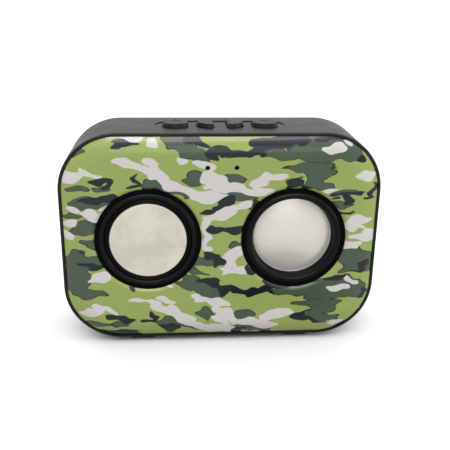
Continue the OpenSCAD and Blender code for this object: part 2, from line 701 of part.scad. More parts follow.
module driver_top_plate() color("#8f9194") place() at_unit(1, basket_back)
    tube(magnet_r - 1, coil_r + coil_t + pole_clear, top_plate_t);

module driver_magnet() color("#2f2f31") place() at_unit(1, basket_back + top_plate_t)
    tube(magnet_r, coil_r + coil_t + 2, magnet_t);

module driver_yoke() color("#8f9194") place() at_unit(1) {
    back = basket_back + top_plate_t + magnet_t;
    translate([0, 0, back]) cylinder(r = magnet_r - 1.2, h = yoke_t);
    translate([0, 0, basket_back]) cylinder(r = coil_r - pole_clear, h = back - basket_back + 0.1);
}

module driver_terminals() color("#7a5a34") place() at_unit(1, ledge_y + 0.3) rotate(-45)
    translate([unit_r - 3.1, -4, 0]) cube([1.4, 8, 4.4]);

module driver_leads() color("#202024") place() for (route = DRIVER_ROUTES) wire(route, wire_r);

module frame_screws(side) at_unit(side, flange_y - small_head_h) on_ears()
    pan_screw(small_head_r, small_head_h, small_shank_r, 5.2);

module radiator_frame() color("#2a2b2d") place() at_unit(-1) {
    frame_ring();
    translate([0, 0, flange_y + 0.1]) tube(unit_r - 2.2, unit_r - 3, baffle_y + baffle_t - flange_y + 0.4);
}

module radiator_surround() color("#151515") place() {
    rad = flat_roll_r;
    mid = roll_out - rad;
    groove = -crest + 1.3;
    at_unit(-1) rotate_extrude() {
        intersection() {
            difference() {
                translate([mid, -crest + rad]) circle(rad);
                translate([mid, -crest + rad]) circle(rad - surround_t);
            }
            translate([mid - rad, -crest]) square([2 * rad, rad]);
        }
        translate([mid + rad - surround_t, -crest + rad]) square([surround_t, flange_y + crest - rad]);
        translate([roll_out - surround_t, surround_foot])
            square([frame_in - skin - roll_out + surround_t, surround_t]);
        translate([mid - rad, -crest + rad]) square([surround_t, groove + surround_t + crest - rad]);
        translate([bead_r - 0.4, groove]) square([mid - rad + 0.1 - bead_r + 0.4, surround_t]);
        translate([bead_r - 0.7, plate_y + 0.15]) square([0.7, groove + surround_t - plate_y - 0.15]);
        translate([plate_r - 3, plate_y + plate_t + skin])
            square([bead_r - plate_r + 3, surround_t]);
    }
}

module radiator_plate() color("#cfc9bd") place() at_unit(-1, plate_y) {
    edge = 0.2;
    cylinder(r1 = plate_r - edge, r2 = plate_r, h = edge);
    translate([0, 0, edge]) cylinder(r = plate_r, h = plate_t - edge);
}

module radiator_weight() color("#8f9194") place() at_unit(-1, plate_y + plate_t) cylinder(r = plate_r - 3.4, h = 2.4);

module driver_seal() color("#3c3d40") place() seal_ring(1);
module radiator_seal() color("#3c3d40") place() seal_ring(-1);
module driver_gasket() color("#0e0e0e") place() gasket_ring(1);
module radiator_gasket() color("#0e0e0e") place() gasket_ring(-1);
module driver_screws() color("#55575a") place() frame_screws(1);
module radiator_screws() color("#55575a") place() frame_screws(-1);

// ---------- assembly ----------

rear_casing();
front_panel();
baffle_plate();
port_bezel();
rubber_feet();
casing_screws();
key_cap(KEYS[0][0], KEYS[0][1]);  // key_plus
key_cap(KEYS[1][0], KEYS[1][1]);  // key_back
key_cap(KEYS[2][0], KEYS[2][1]);  // key_forward
key_cap(KEYS[3][0], KEYS[3][1]);  // key_minus
plunger(KEYS[0][1]);  // plunger_plus
plunger(KEYS[1][1]);  // plunger_back
plunger(KEYS[2][1]);  // plunger_forward
plunger(KEYS[3][1]);  // plunger_minus
key_switches();
main_board();
board_screws();
board_chips();
board_capacitors();
charge_socket();
charge_contacts();
card_slot();
aux_socket();
power_switch();
power_knob();
microphone();
microphone_boot();
indicator_led();
light_pipe();
battery_cell();
battery_tabs();
battery_foam();
battery_leads();
battery_plug();
driver_frame();
driver_seal();
driver_gasket();
driver_surround();
driver_dome();
driver_cone();
voice_coil();
driver_spider();
driver_top_plate();
driver_magnet();
driver_yoke();
driver_terminals();
driver_leads();
driver_plug();
driver_screws();
radiator_frame();
radiator_seal();
radiator_gasket();
radiator_surround();
radiator_plate();
radiator_weight();
radiator_screws();
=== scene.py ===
import json
import math

import bmesh
import bpy
from mathutils import Matrix, Vector


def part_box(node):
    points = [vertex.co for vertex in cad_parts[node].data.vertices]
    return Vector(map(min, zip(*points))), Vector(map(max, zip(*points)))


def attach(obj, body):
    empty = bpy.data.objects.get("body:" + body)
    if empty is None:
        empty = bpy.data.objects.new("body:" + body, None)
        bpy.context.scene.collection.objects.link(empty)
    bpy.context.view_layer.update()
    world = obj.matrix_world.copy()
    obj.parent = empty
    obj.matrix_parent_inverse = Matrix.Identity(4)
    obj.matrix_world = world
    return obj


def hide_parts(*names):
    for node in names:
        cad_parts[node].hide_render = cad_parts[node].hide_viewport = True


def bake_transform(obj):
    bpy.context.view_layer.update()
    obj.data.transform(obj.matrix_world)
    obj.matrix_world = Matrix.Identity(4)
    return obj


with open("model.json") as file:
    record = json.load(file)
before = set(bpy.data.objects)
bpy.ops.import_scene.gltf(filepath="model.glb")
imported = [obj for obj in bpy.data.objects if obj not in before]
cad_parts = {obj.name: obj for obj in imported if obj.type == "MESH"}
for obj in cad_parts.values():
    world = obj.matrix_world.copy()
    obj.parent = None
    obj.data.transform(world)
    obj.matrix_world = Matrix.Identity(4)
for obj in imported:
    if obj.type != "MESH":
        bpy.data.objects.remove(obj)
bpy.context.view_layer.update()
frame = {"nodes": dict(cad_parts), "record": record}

# A small portable loudspeaker: a black soft-touch casing, a camouflage front with a gloss coat, a
# driver on the right and a passive radiator on the left. Lengths are in metres.
MM = 0.001
NEAR = 1e-6  # lengths that differ by less count as equal
scene = bpy.context.scene

# Sizes of the pieces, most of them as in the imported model; r is a radius, w a width, d a depth,
# t a thickness, l a length and h a height
case_low, case_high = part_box("rear_casing")
panel_low, panel_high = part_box("front_panel")
dome_low, dome_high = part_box("driver_dome")
plate_low, plate_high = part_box("radiator_plate")
feet_low, feet_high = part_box("rubber_feet")
bezel_low, bezel_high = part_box("port_bezel")
case_mid = (case_low + case_high) / 2
rim_y = case_low.y
top_z = case_high.z
corner_r = 22 * MM
back_round = 7 * MM
wall = 2.4 * MM
rim_w = 1.1 * MM
rim_round = 0.6 * MM
panel_gap = 0.2 * MM
panel_roll = 7 * MM
panel_rise = 2.1 * MM
panel_t = 1.5 * MM
panel_land = 4 * MM
unit_r = 19.9 * MM
hole_r = 20.05 * MM
hole_bevel = 1.2 * MM
pinhole_r = 0.9 * MM
pinhole_x = 5.3 * MM
pinhole_z = 28.4 * MM
ledge_depth = 4.4 * MM
roll_out = unit_r - 1.4 * MM
spider_in = 8.25 * MM
well_r = 2.9 * MM
well_depth = 15 * MM
well_x = 46.5 * MM
well_z = 27.5 * MM
foot_x = 30.5 * MM
foot_l = 14 * MM
foot_w = 8 * MM
crest_y = rim_y - 1.9 * MM
RIGHT = (dome_low + dome_high) / 2
LEFT = (plate_low + plate_high) / 2

# Keys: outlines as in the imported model, side by side at one depth, each with its place along X
key_y = rim_y + 14.5 * MM
key_d = 12 * MM
key_w = 8.6 * MM
key_bow = 6.23 * MM
key_h = 1.6 * MM
key_step = 0.35 * MM
key_step_h = 0.7 * MM
key_clear = 0.25 * MM
key_corner = 0.7 * MM
inner_w = 5.55 * MM
inner_flat = 2.4 * MM
inner_tip = 6.5 * MM
KEYS = {"plus": -16.8 * MM, "back": -5.625 * MM, "forward": 5.625 * MM, "minus": 16.8 * MM}
tray_r = 7.5 * MM
tray_x = 17.1 * MM
tray_front = 0.05 * MM
tray_depth = 0.4 * MM


# ---------- finishes ----------

def srgb(red, green, blue):
    """A display colour from 0 to 255 as a linear colour with full alpha."""
    parts = [c / 255 for c in (red, green, blue)]
    return tuple(c / 12.92 if c <= 0.04045 else ((c + 0.055) / 1.055) ** 2.4 for c in parts) + (1,)


def grey(level):
    return (level, level, level, 1)


def scaled(colour, factor):
    return tuple(c * factor for c in colour[:3]) + (1,)


class Link:
    """A socket that a node gives out; arithmetic on it adds Math nodes."""

    def __init__(self, finish, socket):
        self.finish = finish
        self.socket = socket

    def math(self, operation, *others):
        return self.finish.add("ShaderNodeMath", {"operation": operation}, dict(enumerate((self, *others))))

    def __add__(self, other):
        return self.math("ADD", other)

    def __sub__(self, other):
        return self.math("SUBTRACT", other)

    def __mul__(self, other):
        return self.math("MULTIPLY", other)

    def ramp(self, low, high, start=0.0, end=1.0):
        """Turns low..high into start..end with a soft step."""
        return self.finish.add("ShaderNodeMapRange", {"interpolation_type": "SMOOTHSTEP"},
                               {0: self, 1: low, 2: high, 3: start, 4: end})


class Finish:
    """A material built round one Principled shader."""

    def __init__(self, name, colour, roughness=0.5, **constants):
        self.material = bpy.data.materials.new(name)
        self.material.use_nodes = True
        self.tree = self.material.node_tree
        self.shader = self.tree.nodes["Principled BSDF"]
        self.put("Base Color", colour)
        self.put("Roughness", roughness)
        for socket, value in constants.items():
            self.put(socket.replace("_", " "), value)
        self.place = self.add("ShaderNodeTexCoord", {}, {}, "Object")

    def put(self, socket, value):
        """Sets a socket of the shader, or links it."""
        target = self.shader.inputs[socket]
        if isinstance(value, Link):
            self.tree.links.new(value.socket, target)
        else:
            target.default_value = value

    def add(self, kind, settings, sockets, out=0):
        """Adds a node: its settings come first, then the values or links of its sockets."""
        node = self.tree.nodes.new(kind)
        for name, value in settings.items():
            setattr(node, name, value)
        for name, value in sockets.items():
            if isinstance(value, Link):
                self.tree.links.new(value.socket, node.inputs[name])
            else:
                node.inputs[name].default_value = value
        return Link(self, node.outputs[out])

    def mapped(self, scale=(1, 1, 1), shift=(0, 0, 0), vector=None):
        return self.add("ShaderNodeMapping", {}, {"Vector": vector or self.place, "Scale": scale,
                                                  "Location": shift})

    def noise(self, scale, detail=2.0, roughness=0.5, distortion=0.0, vector=None, out=0):
        return self.add("ShaderNodeTexNoise", {}, {"Vector": vector or self.place, "Scale": scale,
                                                   "Detail": detail, "Roughness": roughness,
                                                   "Distortion": distortion}, out)

    def mix(self, share, first, second):
        return self.add("ShaderNodeMix", {"data_type": "RGBA"}, {0: share, 6: first, 7: second}, 2)

    def vector(self, operation, first, second):
        return self.add("ShaderNodeVectorMath", {"operation": operation}, {0: first, 1: second})

    def length(self, vector):
        return self.add("ShaderNodeVectorMath", {"operation": "LENGTH"}, {0: vector}, "Value")

    def stretch(self, vector, factor):
        return self.add("ShaderNodeVectorMath", {"operation": "SCALE"}, {0: vector, "Scale": factor})

    def bump(self, height, distance):
        self.put("Normal", self.add("ShaderNodeBump", {}, {"Height": height, "Distance": distance}))


def moulded(name, colour, roughness, grain=0.02 * MM, spread=0.12, grain_scale=3000, **constants):
    """Moulded plastic or rubber: a fine spark-eroded grain, faint flow marks and rubbed patches."""
    wander = 0.04
    finish = Finish(name, colour, roughness, **constants)
    flow = finish.noise(70, 3)
    fine = finish.noise(grain_scale, 2, 0.6)
    finish.put("Base Color", finish.mix(flow, scaled(colour, 1 - spread), scaled(colour, 1 + spread)))
    rubbed = flow.ramp(0.3, 0.7, roughness - wander, roughness + wander)
    finish.put("Roughness", rubbed + (fine * 0.06 - 0.03))
    finish.bump(fine, grain)
    return finish.material


def satin_metal(name, colour, roughness, mottle, **constants):
    """Pressed sheet metal with a satin skin: cloudy patches and a soft grain."""
    finish = Finish(name, colour, roughness, **constants)
    cloud = finish.noise(130, 4, 0.55, 0.6)
    blotch = finish.noise(55, 2, 0.5, 0.4, vector=finish.mapped(shift=(0.4, 0.1, 0.2)))
    grain = finish.noise(5200, 2, 0.6)
    tone = cloud.ramp(0.4, 0.65) * 0.6 + blotch.ramp(0.5, 0.62) * 0.4
    finish.put("Base Color", finish.mix(tone, scaled(colour, 1 + mottle / 2), scaled(colour, 1 - mottle)))
    finish.put("Roughness", tone * 0.05 + (grain * 0.01 + (roughness - 0.03)))
    finish.bump(cloud, 0.0005 * MM)
    return finish.material


def sheet_metal(name, colour, roughness):
    """Plated or painted sheet and screws: brushed streaks with tiny pits."""
    finish = Finish(name, colour, roughness, Metallic=1.0)
    streak = finish.noise(900, 2, 0.6, vector=finish.mapped(scale=(1, 1, 0.08)))
    pits = finish.noise(2600, 2)
    finish.put("Base Color", finish.mix(streak, scaled(colour, 0.82), scaled(colour, 1.08)))
    finish.put("Roughness", streak * 0.16 + (roughness - 0.08))
    finish.bump(streak + pits * 0.5, 0.004 * MM)
    return finish.material


def woven(name, colour):
    """Impregnated cloth or pressed paper with visible fibres."""
    finish = Finish(name, colour, 0.85)
    threads = {"Vector": finish.place, "Scale": 620.0}
    across = finish.add("ShaderNodeTexWave", {"bands_direction": "X"}, threads)
    along = finish.add("ShaderNodeTexWave", {"bands_direction": "Z"}, threads)
    cloth = across * along + finish.noise(1800, 3, 0.6) * 0.4
    finish.put("Base Color", finish.mix(cloth, scaled(colour, 0.65), scaled(colour, 1.25)))
    finish.bump(cloth, 0.06 * MM)
    return finish.material


# The printed pattern: soft patches as (x, z, half length, half height, tilt) in millimetres and
# degrees, from the middle of the front. The print repeats below its seam. The other sizes, also in
# millimetres, say how far near patches melt together, how soft an edge is, how wide an outline is
# and how far the moss screen spreads.
PRINT_SEAM = -14
PRINT_REPEAT = (5, 55)
PATCH_MELT = 0.7
EDGE_SOFT = 0.12
OUTLINE_WIDTH = 0.34
MOSS_SPREAD = 0.5
CHALK_PATCHES = (
    (-35, 40, 7, 1.4, 0), (-25.5, 38, 2.2, 1.6, -40), (-37, 31, 3.6, 1.4, 0), (-30, 28.6, 5, 1.7, -25),
    (-26.5, 30.5, 3.5, 1.2, -25), (-23, 25.5, 5, 2.6, -38), (-18, 21.5, 4.5, 2.2, -25),
    (-11.5, 19.2, 6, 1.8, -12), (-5, 17.8, 6.5, 2.6, -5), (-13, 31.2, 2.6, 1.2, -10),
    (-6.8, 29.3, 4, 1.6, -15), (-5.5, 24.5, 2, 3.8, 0), (-1.5, 22.8, 4.4, 2.6, -40), (6, 20.6, 6, 1.6, -8),
    (13, 19.2, 5, 1.6, 0), (14.5, 23.4, 4.5, 2.2, 25), (20, 24.8, 4, 1.5, 5), (-54.5, 25.6, 4.5, 2, 0),
    (-49, 27, 3.6, 1.1, -15), (-52, 28.6, 1.4, 1, 0), (-54.5, 12.8, 3.5, 1, 0), (-49, 11, 4, 1.7, -12),
    (-44.5, 9.6, 4, 1.7, 0), (-43, 13, 2.4, 1.2, 0), (-57, 8, 2.4, 1.3, 0), (-56, 2.4, 4, 1.1, -25),
    (6, 13.8, 5, 1.4, 12), (0, 10.6, 6.5, 2.2, 15), (-5.8, 7, 2.2, 3.4, 0), (-6, 1, 1.5, 3.4, 0),
    (-4.6, -2.8, 3.2, 1.8, 0), (5.5, -5, 4.4, 2.6, 25), (3, -8.5, 3.4, 2.4, 0), (8, -12.4, 5.5, 2, 5),
    (2, -13, 2, 2.4, 0), (41, 35, 4.3, 1.7, 8), (45.5, 38, 3.6, 1.1, -28), (54, 25, 4.6, 1.6, 3),
    (40.5, 20, 3.4, 1.2, 5), (52, 8.2, 5, 1.8, 0), (50, 5, 4.4, 1.6, 0), (55.5, 1.5, 4.5, 2.8, 10),
    (49.5, -2.2, 4.5, 1.3, 0), (-46.5, -14.2, 4.4, 1.7, 10), (-51.5, 40.8, 4.4, 1.7, 10))
MOSS_PATCHES = (
    (-56, 34, 5.5, 1.6, 0), (-53, 20.8, 3.6, 1.2, 5), (-15, 37.5, 5, 2.4, -10), (-10.5, 34, 6, 2.4, -28),
    (-10.4, 24.4, 3.2, 2.5, -15), (3.6, 24.2, 3.6, 1.8, -12), (-25.5, 21.8, 3.8, 1.8, -10),
    (1.5, 19, 3.5, 1.2, -25), (8, 17.2, 6, 1.4, -8), (22, 33.3, 7, 1.7, 0), (35, 35, 10, 4.6, 0),
    (45, 33.5, 6, 2.6, 0), (32.5, 28.6, 8.6, 1.5, 0), (36, 27, 5, 2.4, 0), (33.5, 23, 3, 3, 0),
    (38, 21.8, 3.6, 1.1, 0), (47.5, 36, 5, 2.2, -35), (43.5, 14, 4.5, 1, 0), (-48, 15.4, 8, 2.2, 0),
    (-55, 10.4, 3.6, 1, 0), (-51, 5.6, 5.5, 2.4, 8), (-47.5, -1, 3.5, 2, 0), (-55, -7, 4.5, 3.6, 0),
    (-44, 20.8, 3.4, 0.9, 0), (-17, 19.2, 3.4, 1.2, -20), (46.5, 18.6, 4, 1.1, 0), (14, 13.6, 4, 1.4, 0),
    (-54.5, -14, 5.5, 6, 0), (-46, -8, 5, 2.4, 0), (-59.5, 41, 5.5, 6, 0), (-7, -8, 7, 1.9, -4),
    (-10, -12, 4.5, 1.5, -22), (-18.5, 37.7, 3.5, 2.2, -30), (51, -7, 6.5, 3.6, 0), (50.5, -12, 4.6, 2.6, 0),
    (57.5, -12, 1.8, 5, 0), (-6, 5.5, 1, 1, 0), (6.5, -1.5, 3, 1, 0))
SLATE_PATCHES = (
    (-36, 37.8, 4.8, 1.2, 0), (-38.5, 36.4, 1.4, 1, 0), (-45, 23.7, 4.2, 1.3, 0), (-41.3, 22.7, 2.3, 1.6, 0),
    (-31.2, 24, 1.2, 2.4, 20), (-33.2, 21.9, 2.8, 0.9, 5), (-45, 16.8, 6, 1.4, 5), (-39, 16.2, 4.5, 1.4, 0),
    (-50, 15.8, 2.4, 0.8, 0), (-12, 38.8, 2.6, 1.1, 0), (-7, 37.2, 4, 1.6, -25), (-4, 33.6, 2.4, 2.2, -30),
    (1, 34.6, 5, 1.5, -12), (7, 33.6, 5, 1.5, 12), (13.5, 35.4, 5, 1.7, 5), (19, 37.6, 9, 2.2, 0),
    (28, 38.4, 5, 1.6, 0), (15, 33.4, 1.6, 1.5, 0), (2, 16.2, 3.2, 1.5, 25), (-1.4, 13.6, 3.4, 1.4, 20),
    (-5.4, 11.3, 2.8, 0.7, 5), (-2.5, 4.6, 3, 1.9, 0), (3.5, 4.6, 5, 1.4, 0), (26, 22.6, 3.2, 2, 0),
    (28.4, 24.6, 2.2, 0.6, 25), (31, 20.8, 2.6, 0.7, -20), (43, 16.5, 3, 0.9, 0), (47.4, 16, 2.5, 1.6, 0),
    (57, 19, 1.1, 3, 0), (54.6, 16.2, 1.8, 0.8, 0), (51.4, 31.8, 2, 1.6, 0), (-51, -9, 3, 0.9, -8),
    (-46.5, -10.2, 3.6, 1, 0), (-3.5, -6, 3.8, 1.2, -5), (-1.5, -9, 1.8, 2.4, 0), (11.5, -11.5, 2.6, 2.2, 0),
    (55, -11.6, 2.7, 2.6, 0), (51, -14.6, 3.5, 1.6, 20), (45, -16.6, 5.5, 1.3, 0), (40, 38.9, 5.5, 1.3, 0),
    (12.6, 15, 2.3, 0.9, 0), (45, 10.8, 3.8, 0.5, 4), (-25, 18.4, 3.6, 2.6, 0), (52, 18, 3.4, 0.9, 8),
    (45.5, 17.8, 4.5, 0.8, 0), (56, -16.5, 2.6, 1.6, 30))


def camouflage(name):
    """Four-colour camouflage, screen by screen, under a clear gloss coat."""
    lime = srgb(103, 116, 60)
    chalk = srgb(147, 144, 142)
    moss = srgb(46, 57, 44)
    slate = srgb(1, 11, 18)
    outline = srgb(14, 24, 16)
    finish = Finish(name, lime, 0.32, IOR=1.15, Coat_Weight=1, Coat_Roughness=0.1, Coat_IOR=1.28)
    flat = finish.mapped(scale=(1 / MM, 0, 1 / MM), shift=(0, 0, -case_mid.z / MM))
    # Slow noise bends the whole print, and more of it nibbles at the edges of the patches
    waves = finish.mapped(scale=(0.42, 0, 0.72), vector=flat)
    bend = finish.vector("SUBTRACT", finish.noise(0.42, 0, 0.4, 0.2, waves, "Color"), (0.5, 0.5, 0.5))
    bent = finish.vector("ADD", flat, finish.vector("MULTIPLY", bend, (6, 0, 3.4)))
    height = finish.add("ShaderNodeSeparateXYZ", {}, {0: bent}, "Z")
    below = height.math("LESS_THAN", PRINT_SEAM)
    jump = finish.stretch((-PRINT_REPEAT[0], 0, PRINT_REPEAT[1]), below)
    place = finish.vector("ADD", bent, jump)
    nibbles = finish.mapped(scale=(0.6, 0, 0.9), vector=flat)
    ragged = (finish.noise(0.36, 0, 0.4, 0.2, nibbles) - 0.5) * 2

    def screen(patches):
        """How far outside the nearest patch's edge a point is, in millimetres."""
        edge = None
        for x, z, long, high, tilt in patches:
            local = place
            if tilt:
                turn = {"Vector": place, "Center": (x, 0, z), "Angle": math.radians(tilt)}
                local = finish.add("ShaderNodeVectorRotate", {"rotation_type": "Y_AXIS"}, turn)
            local = finish.add("ShaderNodeVectorMath", {"operation": "MULTIPLY_ADD"}, {
                0: local, 1: (1 / long, 0, 1 / high), 2: (-x / long, 0, -z / high)})
            size = math.sqrt(long * high)
            reach = finish.length(local).math("MULTIPLY_ADD", size, -size)
            edge = reach if edge is None else edge.math("SMOOTH_MIN", reach, PATCH_MELT)
        return edge + ragged

    def inside(edge, inset=0.0):
        return edge.ramp(EDGE_SOFT - inset, -EDGE_SOFT - inset)

    mossy = screen(MOSS_PATCHES) - MOSS_SPREAD
    colour = finish.mix(inside(mossy), lime, outline)
    colour = finish.mix(inside(mossy, OUTLINE_WIDTH), colour, moss)
    colour = finish.mix(inside(screen(CHALK_PATCHES)), colour, chalk)
    slaty = screen(SLATE_PATCHES)
    colour = finish.mix(inside(slaty), colour, outline)
    colour = finish.mix(inside(slaty, OUTLINE_WIDTH), colour, slate)
    dust = finish.noise(4200, 2).ramp(0.3, 0.7, 0.0, 0.02)
    finish.put("Base Color", finish.mix(dust, colour, srgb(120, 120, 110)))
    orange_peel = finish.noise(420, 2)
    finish.put("Roughness", orange_peel * 0.06 + 0.3)
    finish.bump(orange_peel, 0.006 * MM)
    return finish.material


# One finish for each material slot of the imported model
FINISHES = {
    "casing_plastic": moulded("casing_plastic", srgb(6, 6, 5), 0.46, grain=0.012 * MM, IOR=1.27),
    "camouflage_panel": camouflage("camouflage_print"),
    "black_plastic": moulded("black_plastic", srgb(20, 20, 20), 0.45, IOR=1.35),
    "foot_rubber": moulded("foot_rubber", srgb(16, 16, 16), 0.7, grain=0.03 * MM, IOR=1.3),
    "surround_rubber": moulded("surround_rubber", srgb(3, 3, 3), 0.34, grain=0.002 * MM, spread=0.05,
                               IOR=1.18),
    "foam": moulded("trim_foam", srgb(3, 3, 3), 0.8, grain=0.03 * MM, grain_scale=1500, IOR=1.1),
    "frame_steel": sheet_metal("frame_steel", srgb(30, 31, 33), 0.5),
    "dome_metal": satin_metal("dome_metal", srgb(174, 172, 165), 0.3, 0.02, Metallic=0.55, IOR=1.2),
    "plate_metal": satin_metal("plate_metal", srgb(162, 158, 149), 0.45, 0.12, Metallic=0.4, IOR=1.3),
    "cone_paper": woven("cone_paper", srgb(60, 52, 42)),
    "spider_cloth": woven("spider_cloth", srgb(168, 132, 60)),
    "coil_copper": sheet_metal("coil_copper", srgb(196, 112, 60), 0.4),
    "magnet_ferrite": moulded("magnet_ferrite", srgb(46, 46, 48), 0.6, grain=0.05 * MM),
    "terminal_board": woven("terminal_board", srgb(122, 90, 52)),
    "board_green": moulded("board_green", srgb(26, 84, 48), 0.3),
    "chip_black": moulded("chip_black", srgb(26, 27, 29), 0.5),
    "socket_steel": sheet_metal("socket_steel", srgb(186, 188, 190), 0.32),
    "screw_steel": sheet_metal("screw_steel", srgb(98, 100, 104), 0.36),
    "battery_wrap": moulded("battery_wrap", srgb(42, 100, 170), 0.25),
    "lead_plastic": moulded("lead_plastic", srgb(150, 30, 30), 0.45),
    "plug_plastic": moulded("plug_plastic", srgb(226, 221, 205), 0.45),
    "clear_plastic": moulded("clear_plastic", srgb(150, 154, 158), 0.15, grain=0.0, Transmission_Weight=0.6),
}


# ---------- modelling ----------

def add_piece(name, bm, slot, body="housing", replaces=(), sharp=32):
    """Turns a bmesh into a piece with its slot's finish; with a body it rides on that body.

    Edges steeper than sharp, in degrees, stay crisp.
    """
    mesh = bpy.data.meshes.new(name)
    bm.to_mesh(mesh)
    bm.free()
    mesh.materials.append(FINISHES[slot])
    piece = bpy.data.objects.new(name, mesh)
    scene.collection.objects.link(piece)
    mesh.shade_smooth()
    mesh.set_sharp_from_angle(angle=math.radians(sharp))
    even = piece.modifiers.new("even_normals", "WEIGHTED_NORMAL")
    even.keep_sharp = True
    if body:
        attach(piece, body)
    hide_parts(*replaces)
    return piece


def block(low, high):
    bm = bmesh.new()
    size = high - low
    place = Matrix.Translation((low + high) / 2) @ Matrix.Diagonal((*size, 1))
    bmesh.ops.create_cube(bm, size=1, matrix=place)
    return bm


def round_edges(bm, edges, radius, segments):
    bmesh.ops.bevel(bm, geom=edges, offset=radius, offset_type="OFFSET", segments=segments, profile=0.5,
                    affect="EDGES", material=-1)


def round_corners(bm, corners, radius, segments=6):
    bmesh.ops.bevel(bm, geom=corners, offset=radius, offset_type="OFFSET", segments=segments, profile=0.5,
                    affect="VERTICES", material=-1)


def rounded_block(low, high, radius, segments=24):
    """A block whose four edges along Y are rounded."""
    bm = block(low, high)
    along = [e for e in bm.edges if abs(e.verts[0].co.y - e.verts[1].co.y) > NEAR]
    round_edges(bm, along, radius, segments)
    return bm


def faces_at(bm, y, facing):
    """The faces that lie on a plane of constant Y and face that way along Y."""
    bm.normal_update()
    return [f for f in bm.faces if f.normal.y * facing > 0.99 and abs(f.calc_center_median().y - y) < NEAR]


def loop_at(bm, y):
    """The outline edges that lie on a plane of constant Y."""
    return [e for e in bm.edges if all(abs(v.co.y - y) < NEAR for v in e.verts)
            and any(abs(f.normal.y) < 0.5 for f in e.link_faces)]


def push(bm, faces, move):
    """Extrudes faces by a vector and gives the new ones."""
    made = bmesh.ops.extrude_face_region(bm, geom=faces)["geom"]
    bmesh.ops.delete(bm, geom=faces, context="FACES_ONLY")
    bmesh.ops.translate(bm, vec=move, verts=[v for v in made if isinstance(v, bmesh.types.BMVert)])
    return [f for f in made if isinstance(f, bmesh.types.BMFace)]


def inset(bm, faces, width, rise=0.0):
    bmesh.ops.inset_region(bm, faces=faces, thickness=width, depth=rise, use_even_offset=True,
                           use_boundary=True)


def raise_outline(bm, height):
    """Extrudes a flat outline up into a closed prism and gives its top face."""
    made = bmesh.ops.extrude_face_region(bm, geom=bm.faces[:])["geom"]
    bmesh.ops.translate(bm, vec=(0, 0, height), verts=[v for v in made if isinstance(v, bmesh.types.BMVert)])
    bmesh.ops.recalc_face_normals(bm, faces=bm.faces)
    return [f for f in made if isinstance(f, bmesh.types.BMFace)]


def carve(bm, cutters):
    """Cuts the cutters' shapes out of a bmesh."""
    body = bpy.data.objects.new("body", bpy.data.meshes.new("body"))
    bm.to_mesh(body.data)
    bm.free()
    scene.collection.objects.link(body)
    tools = []
    for i, cutter in enumerate(cutters):
        tool = bpy.data.objects.new(f"tool_{i}", bpy.data.meshes.new(f"tool_{i}"))
        bmesh.ops.recalc_face_normals(cutter, faces=cutter.faces)
        cutter.to_mesh(tool.data)
        cutter.free()
        scene.collection.objects.link(tool)
        cut = body.modifiers.new(f"cut_{i}", "BOOLEAN")
        cut.object = tool
        cut.operation = "DIFFERENCE"
        cut.solver = "EXACT"
        tools.append(tool)
    bpy.context.view_layer.update()
    shaped = body.evaluated_get(bpy.context.evaluated_depsgraph_get())
    result = bmesh.new()
    result.from_mesh(shaped.to_mesh())
    shaped.to_mesh_clear()
    for spent in [body, *tools]:
        bpy.data.objects.remove(spent)
    return result


def lathe(profile, centre, steps=128):
    """Spins a closed profile of (radius, y) points round the axis through centre along Y."""
    bm = bmesh.new()
    axle = (centre.x, 0, centre.z)
    points = [bm.verts.new((centre.x + r, y, centre.z)) for r, y in profile]
    edges = [bm.edges.new((a, b)) for a, b in zip(points, points[1:] + points[:1])
             if not (a.co.x == centre.x and b.co.x == centre.x)]
    bmesh.ops.spin(bm, geom=points + edges, cent=axle, axis=(0, 1, 0), dvec=(0, 0, 0), angle=2 * math.pi,
                   steps=steps, use_merge=True, use_duplicate=False)
    bmesh.ops.remove_doubles(bm, verts=bm.verts, dist=1e-7)
    bmesh.ops.recalc_face_normals(bm, faces=bm.faces)
    if bm.calc_volume(signed=True) < 0:
        bmesh.ops.reverse_faces(bm, faces=bm.faces)
    return bm


def arc(r, y, radius, start, end, count=10):
    """Points of a circular arc in the lathe's plane, with angles in degrees from outwards to the back."""
    turns = [math.radians(start + (end - start) * i / count) for i in range(count + 1)]
    return [(r + radius * math.cos(t), y + radius * math.sin(t)) for t in turns]


def stadium(length, width, height, place, turn=Matrix()):
    """A closed prism with a stadium's outline; it rises from the origin, is turned, then placed."""
    bm = bmesh.new()
    half = width / 2
    reach = length / 2 - half
    outline = [(side * reach + half * math.cos(t), half * math.sin(t))
               for side, base in ((1, -90), (-1, 90))
               for t in (math.radians(base + 180 * i / 20) for i in range(21))]
    bm.faces.new([bm.verts.new((x, y, 0)) for x, y in outline])
    raise_outline(bm, height)
    bmesh.ops.transform(bm, matrix=Matrix.Translation(place) @ turn, verts=bm.verts)
    return bm


TO_BACK = Matrix.Rotation(math.radians(-90), 4, "X")


